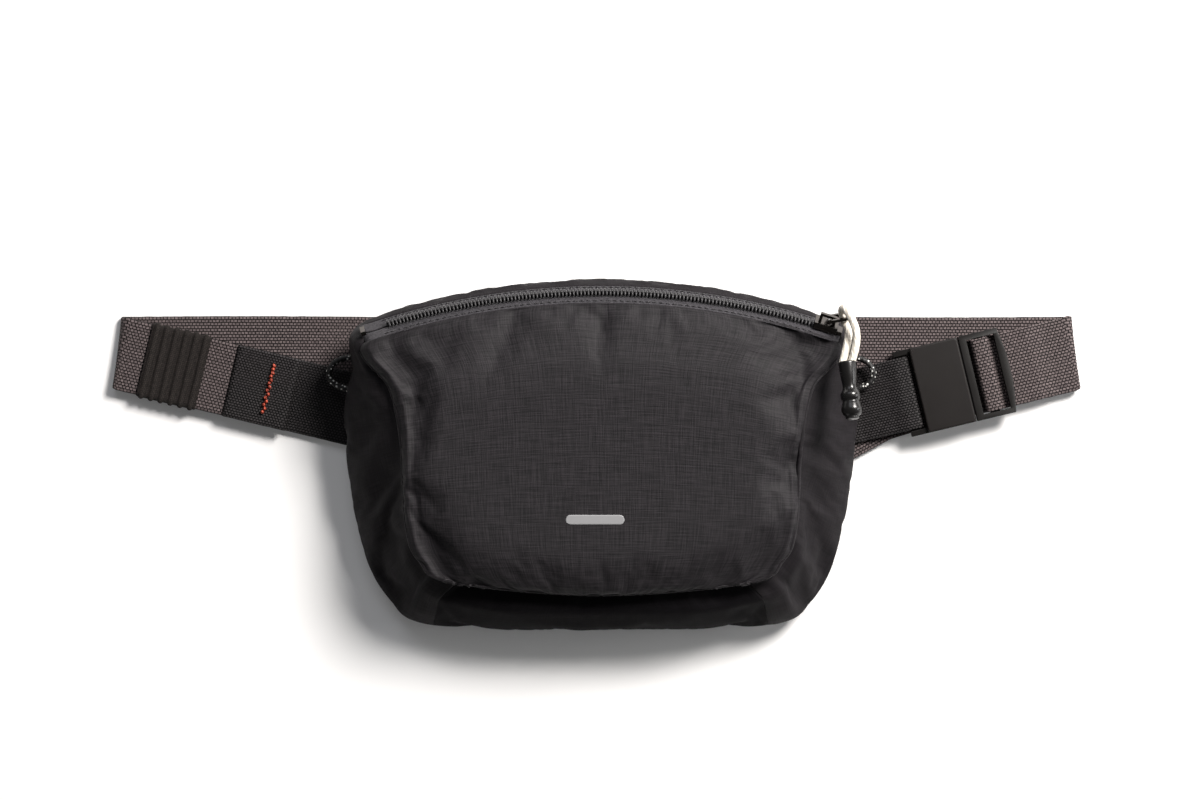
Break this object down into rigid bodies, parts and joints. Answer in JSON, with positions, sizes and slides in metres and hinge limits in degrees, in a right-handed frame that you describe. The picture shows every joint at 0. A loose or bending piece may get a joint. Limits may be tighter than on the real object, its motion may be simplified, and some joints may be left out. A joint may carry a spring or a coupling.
{
  "type": "zipped waist bag",
  "caption": "Flat zipped waist bag with gusseted body, arched coil zip with cord pull, webbing belt, elastic keeper and magnetic slide-out buckle with strap adjuster.",
  "frame": {"origin": "middle of the whole object's box in X and Y, on the surface it lies on", "axes": "+X along the belt, +Y from the bag's base to its zip, +Z out of the front of the bag"},
  "size_m": [0.399, 0.144, 0.0569],
  "materials": {
    "shell_fabric": "heathered ripstop weave",
    "gusset_fabric": "smooth satin weave",
    "spacer_mesh": "spacer mesh",
    "foam": "closed-cell foam",
    "lining": "light plain weave",
    "zip_tape": "woven tape",
    "zip_coil": "nylon coil",
    "zip_metal": "black-nickel plate",
    "pull_cord": "braided",
    "moulded_end": "polished moulding",
    "loop_cord": "braided with reflective flecks",
    "belt_webbing": "plain-woven webbing",
    "wing_webbing": "ribbed webbing",
    "tack_thread": "dense zigzag stitching",
    "elastic": "ribbed elastic",
    "buckle_plastic": "moulded acetal",
    "buckle_cover": "satin moulding",
    "magnet": "nickel plate",
    "reflective": "retroreflective print"
  },
  "bodies": {
    "bag": {"front_panel": "shell_fabric", "side_gusset_left": "gusset_fabric", "side_gusset_right": "gusset_fabric", "base_gusset": "gusset_fabric", "top_strip": "gusset_fabric", "back_mesh": "spacer_mesh", "back_foam": "foam", "back_lining": "lining", "inner_pocket": "lining", "zip_tape_rear": "zip_tape", "zip_tape_ends": "zip_tape", "zip_coil_rear": "zip_coil", "zip_stops": "zip_metal", "loop_left": "loop_cord", "loop_right": "loop_cord", "belt_webbing": "belt_webbing", "wing_left": "wing_webbing", "wing_left_cap": "wing_webbing", "wing_right": "wing_webbing", "bartack_left": "tack_thread", "buckle_female": "buckle_plastic", "buckle_cover": "buckle_cover", "magnet_female": "magnet", "front_dash": "reflective"},
    "slider": {"zip_slider": "zip_metal"},
    "pull": {"zip_puller": "zip_metal", "pull_cord": "pull_cord", "pull_end": "moulded_end"},
    "lip": {"front_lip": "shell_fabric", "zip_tape_front": "zip_tape", "zip_coil_front": "zip_coil"},
    "buckle_half": {"buckle_male": "buckle_plastic", "magnet_male": "magnet", "belt_adjust_end": "belt_webbing"},
    "keeper": {"keeper": "elastic"}
  },
  "joints": [
    {"name": "zip_travel", "type": "hinge", "parent": "bag", "child": "slider", "pos_m": [0.002, -0.234, 0.033], "axis": [0, 0, 1], "range_deg": [0, 35.5]},
    {"name": "puller_swing", "type": "hinge", "parent": "slider", "child": "pull", "pos_m": [0.09473, 0.05568, 0.03508], "axis": [-0.1365, -0.4264, 0.8942], "range_deg": [0, 100]},
    {"name": "lip_fold", "type": "hinge", "parent": "bag", "child": "lip", "pos_m": [0.002, 0.0451, 0.0467], "axis": [1, 0, 0], "range_deg": [0, 55]},
    {"name": "buckle_release", "type": "slide", "parent": "bag", "child": "buckle_half", "axis": [0.9724, 0.2334, 0], "range_m": [0, 0.012]},
    {"name": "keeper_slide", "type": "slide", "parent": "bag", "child": "keeper", "axis": [0.9724, -0.2334, 0], "range_m": [-0.005, 0.008]}
  ]
}
